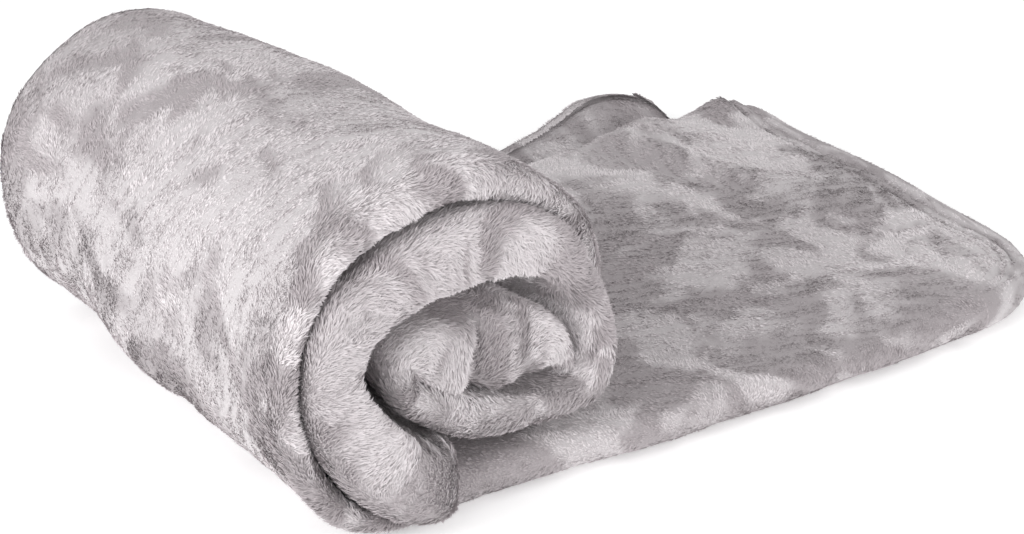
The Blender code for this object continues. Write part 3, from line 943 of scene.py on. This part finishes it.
def make_thread():
    """Spun polyester thread, a little darker than the pile round it."""
    material = bpy.data.materials.new("hem_thread")
    material.use_nodes = True
    tree = material.node_tree
    shader = tree.nodes["Principled BSDF"]
    strands = add_noise(tree, 1600.0)
    ramp = add_node(tree, "ShaderNodeValToRGB")
    ramp.color_ramp.elements[0].color = (0.36, 0.325, 0.335, 1.0)
    ramp.color_ramp.elements[1].color = (0.50, 0.455, 0.47, 1.0)
    tree.links.new(strands, ramp.inputs["Fac"])
    tree.links.new(ramp.outputs["Color"], shader.inputs["Base Color"])
    tree.links.new(add_range(tree, strands, 0.45, 0.70), shader.inputs["Roughness"])
    tree.links.new(add_bump(tree, strands, 0.5, 0.0002), shader.inputs["Normal"])
    return material


# ---------------------------------------------------------------- camera, light and floor

CAMERA_LENS = 116.3
CAMERA_TURN = -35.156
CAMERA_RISE = 25.576
CAMERA_DISTANCE = 16.851 * UNIT
CAMERA_TARGET = (0.341 * UNIT + ROLL_X, 0.02 * UNIT + NEAR_Y, 1.354 * UNIT)
WORLD_LIGHT = 0.72


def aim(thing, target):
    thing.rotation_euler = (Vector(target) - thing.location).to_track_quat("-Z", "Y").to_euler()


def make_camera():
    camera = bpy.data.cameras.new("camera")
    camera.sensor_width = 36.0
    camera.lens = CAMERA_LENS
    camera.clip_end = 30.0
    holder = bpy.data.objects.new("camera", camera)
    bpy.context.scene.collection.objects.link(holder)
    azimuth, elevation = math.radians(CAMERA_TURN), math.radians(CAMERA_RISE)
    back = Vector(
        (
            math.sin(azimuth) * math.cos(elevation),
            -math.cos(azimuth) * math.cos(elevation),
            math.sin(elevation),
        )
    )
    holder.location = Vector(CAMERA_TARGET) + back * CAMERA_DISTANCE
    aim(holder, CAMERA_TARGET)
    bpy.context.scene.camera = holder


def add_light(name, energy, size, place, target=(0.0, 0.0, 0.05)):
    light = bpy.data.lights.new(name, "AREA")
    light.energy = energy
    light.size = size
    holder = bpy.data.objects.new(name, light)
    bpy.context.scene.collection.objects.link(holder)
    holder.location = place
    aim(holder, target)


def make_studio():
    bpy.ops.object.select_all(action="DESELECT")
    bpy.ops.mesh.primitive_plane_add(size=14.0)
    floor = bpy.context.object
    floor.name = "floor"
    material = bpy.data.materials.new("white_paper")
    material.use_nodes = True
    shader = material.node_tree.nodes["Principled BSDF"]
    shader.inputs["Base Color"].default_value = (0.93, 0.93, 0.93, 1.0)
    tree = material.node_tree
    grain = add_noise(tree, 220.0)
    tree.links.new(add_range(tree, grain, 0.85, 0.95), shader.inputs["Roughness"])
    tree.links.new(add_bump(tree, grain, 0.1, 0.0002), shader.inputs["Normal"])
    shader.inputs["Specular IOR Level"].default_value = 0.1
    shader.inputs["Emission Color"].default_value = (1.0, 1.0, 1.0, 1.0)
    shader.inputs["Emission Strength"].default_value = 0.30
    floor.data.materials.append(material)
    world = bpy.data.worlds.new("studio")
    bpy.context.scene.world = world
    world.use_nodes = True
    world.node_tree.nodes["Background"].inputs["Color"].default_value = (1.0, 1.0, 1.0, 1.0)
    world.node_tree.nodes["Background"].inputs["Strength"].default_value = WORLD_LIGHT
    add_light("left_window", 18.0, 1.2, (-1.75, -0.55, 0.85))
    add_light("front_card", 10.0, 1.4, (-0.1, -1.9, 0.8))


# ---------------------------------------------------------------- the blanket

bpy.context.scene.view_settings.view_transform = "Standard"
make_camera()
make_studio()
TUFT = make_tuft()
COLOURS = make_fleece_colour()
RELIEF = make_fleece_relief()
# Root Shade is painted shade: the backing, with no root-to-tip share, is painted darker all over as though
# in the shade of its pile, and each tuft darker towards its root.
FLEECE = make_fleece("fleece_backing", 0.7, 0.8, COLOURS, RELIEF)
PILE = make_fleece("fleece_pile", 0.82, 0.25, COLOURS, RELIEF)
STITCH = make_stitch()
THREAD = make_thread()


def flat_places(points, start, end):
    """Flat cloth coordinates for a grid: across the cut width, and from start to end along it."""
    steps = np.linalg.norm(np.diff(points[len(points) // 2], axis=0), axis=-1)
    across = np.concatenate([[0.0], np.cumsum(steps)])
    across *= CUT_WIDTH / across[-1]
    steps = np.linalg.norm(np.diff(points[:, COLUMN_OF_NOSE], axis=0), axis=-1)
    along = np.concatenate([[0.0], np.cumsum(steps)])
    along = start + along * (end - start) / along[-1]
    return np.stack(np.meshgrid(across, along), -1)


tail_points = make_tail_points()
# The tail spreads a little towards both sides, more on the near one.
tail_x, tail_y = tail_points[..., 0], tail_points[..., 1]
near_lean = 0.007 * smooth(tail_x, 0.02, 0.16) * (1.0 - smooth(tail_y, 0.0, 0.12))
far_lean = 0.004 * smooth(tail_x, 0.15, 0.30) * smooth(tail_y, 0.20, 0.30)
tail_points[..., 1] += far_lean - near_lean
roll_points = make_roll_points()
roll_points[0] = tail_points[-1]
cut = int(np.argmin(np.abs(tail_points[:, COLUMN_OF_NOSE, 0] - TAIL_CUT)))
tail_flat = flat_places(tail_points, 0.0, TAIL_LENGTH)
roll_flat = flat_places(roll_points, TAIL_LENGTH, CUT_LENGTH)
tail_points = soften(tail_points)
roll_points = soften(roll_points)
roll_turns = roll_rows()


# Tufts a square metre, by place. Cloth that other cloth hides has none.
OUTER_DENSITY = 1.15e6
LIP_DENSITY = 1.25e6
ROLL_NOSE_DENSITY = 1.7e6
TAIL_NOSE_DENSITY = 1.3e6
FAR_DENSITY = 1.1e6
FREE_EDGE_DENSITY = 1.6e6
FLOOR_SIDE_DENSITY = 0.3e6
UNDER_TAIL_DENSITY = 0.12e6
FAR_STRIP = 0.295
UNDER_ROLL_TURNS = 0.045


def cell_mean(values):
    return (values[1:, 1:] + values[:-1, 1:] + values[1:, :-1] + values[:-1, :-1]) / 4.0


def roll_density():
    y = roll_points[..., 1]
    turns = roll_turns[:, None] * np.ones(len(COLUMNS))
    outer = (LAYERS == 0) & np.isin(KINDS, ("flat", "free_outer"))
    nose = KINDS == "near_fold"
    inner_face = (LAYERS == 3) & (KINDS == "flat")
    dense = np.zeros(y.shape)
    dense = np.where(outer & (turns < 1.0), OUTER_DENSITY, dense)
    deep = np.where(turns < 1.0, 0.060, np.where(outer, 0.030, 0.050))
    dense = np.where((outer | inner_face) & (y < deep), LIP_DENSITY, dense)
    dense = np.where(nose, ROLL_NOSE_DENSITY, dense)
    at_far_end = outer | inner_face | np.isin(KINDS, ("far_fold", "free_outer"))
    dense = np.where(at_far_end & (y > FAR_STRIP), FAR_DENSITY, dense)
    under = (turns < UNDER_ROLL_TURNS) & (y > 0.03)
    dense = np.where(under, np.minimum(dense, FLOOR_SIDE_DENSITY), dense)
    return cell_mean(dense)


def tail_density():
    y = tail_points[..., 1]
    dense = np.full(y.shape, 0.0)
    dense = np.where((LAYERS == 3) & (KINDS == "flat"), OUTER_DENSITY, dense)
    dense = np.where(KINDS == "near_fold", TAIL_NOSE_DENSITY, dense)
    dense = np.where((LAYERS == 0) & np.isin(KINDS, ("flat", "free_outer")), UNDER_TAIL_DENSITY, dense)
    dense = np.where((LAYERS == 1) & (y > 0.285), FAR_DENSITY, dense)
    dense = np.where(FREE, FREE_EDGE_DENSITY, dense)
    dense = np.where(KINDS == "far_fold", FAR_DENSITY, dense)
    return cell_mean(dense)


# The pile's length and ruffle as shares, and how much painted shade darkens its nap, for each corner of the
# cloth.
roll_length = np.full(roll_points.shape[:2], 0.78)
roll_length += 0.40 * np.exp(-((roll_points[..., 1] / 0.030) ** 2))
roll_ruffle = 0.30 * np.exp(-(((roll_points[..., 1] - 0.002) / 0.014) ** 2))
tail_inset, tail_corner = from_end_edge(make_tail_points())
tail_length = np.full(tail_points.shape[:2], 0.74)
tail_length *= 1.0 - 0.35 * FREE
tail_length *= 0.55 + 0.45 * smooth(tail_inset, 0.001, 0.012)
for seam in HEM_SEAMS:
    tail_length *= 1.0 - 0.4 * np.exp(-(((tail_inset - seam) / 0.002) ** 2))
tail_ruffle = np.zeros(tail_points.shape[:2])
roll_y = roll_points[..., 1]
# Painted shade towards the roll's far end, above its lowest stretch, then spots of painted shade and light
# from ROLL_SHADES.
roll_shade = 0.50 * smooth(roll_y, 0.20, 0.31) * smooth(roll_turns, 0.22, 0.36)[:, None]
for turn, y, amount, turn_reach, y_reach in ROLL_SHADES:
    away = ((roll_turns[:, None] - turn) / turn_reach) ** 2 + ((roll_y - y) / y_reach) ** 2
    roll_shade += amount * np.exp(-away)
# Painted shade over the whole tail, which lies in the roll's shade, then spots of painted shade and light
# from TAIL_SHADES.
tail_shade = np.full(tail_points.shape[:2], 0.15)
for x, y, amount, width in TAIL_SHADES:
    away = (tail_points[..., 0] - x) ** 2 + (tail_points[..., 1] - y) ** 2
    tail_shade += amount * np.exp(-(away / width**2))
# Painted shade in the grooves that the hem's seams press into the cloth.
for seam in HEM_SEAMS:
    seam_shade = 0.75 * np.exp(-(((tail_inset - seam) / 0.0020) ** 2))
    tail_shade += seam_shade * (1.0 - smooth(tail_corner, *GROOVE_FADE))


def add_cloth(name, points, flat, shade, density, length, ruffle, seed):
    """One sheet of the cloth and the pieces of its pile."""
    sheet = add_sheet(name, points)
    tone = np.zeros((*points.shape[:2], 4))
    # The sheet carries the same painted sheen and shade in its colour as its pile.
    tone[..., 0] = np.clip(nap_of(flat) - shade, 0.0, 1.0)
    tone[..., 2] = 0.5
    tone[..., 3] = 1.0
    colours = sheet.data.attributes.new("tone", "FLOAT_COLOR", "POINT")
    colours.data.foreach_set("color", tone.astype(np.float32).ravel())
    sheet.data.materials.append(FLEECE)
    pile = grow_pile(name.replace("cloth", "pile"), points, flat, shade, density, length, ruffle, seed)
    return sheet, pile


dense_tail = tail_density()
end_sheet, end_pile = add_cloth(
    "tail_end_cloth",
    tail_points[: cut + 1],
    tail_flat[: cut + 1],
    tail_shade[: cut + 1],
    dense_tail[:cut],
    tail_length[: cut + 1],
    tail_ruffle[: cut + 1],
    101,
)
tail_sheet, tail_pile = add_cloth(
    "tail_cloth",
    tail_points[cut:],
    tail_flat[cut:],
    tail_shade[cut:],
    dense_tail[cut:],
    tail_length[cut:],
    tail_ruffle[cut:],
    102,
)
stitching = [
    add_stitches(f"hem_stitches_{number + 1}", *seam_line(tail_points, tail_inset, seam))
    for number, seam in enumerate(HEM_SEAMS)
]
roll_sheet, roll_pile = add_cloth(
    "rolled_cloth",
    roll_points,
    roll_flat,
    roll_shade,
    roll_density(),
    roll_length,
    roll_ruffle,
    103,
)

for piece in [roll_sheet, *roll_pile]:
    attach(piece, "roll")
for piece in [tail_sheet, *tail_pile]:
    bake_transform(piece)
for piece in [end_sheet, *end_pile, *stitching]:
    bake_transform(piece)

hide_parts("outer_wrap", "middle_wrap", "inner_wrap", "core_fold", "tail_root")
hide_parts("tail_upper_leaf", "tail_lower_leaf")
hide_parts("end_upper_leaf", "end_lower_leaf", "end_hem")
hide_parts("hem_stitching_1")
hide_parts("hem_stitching_2")
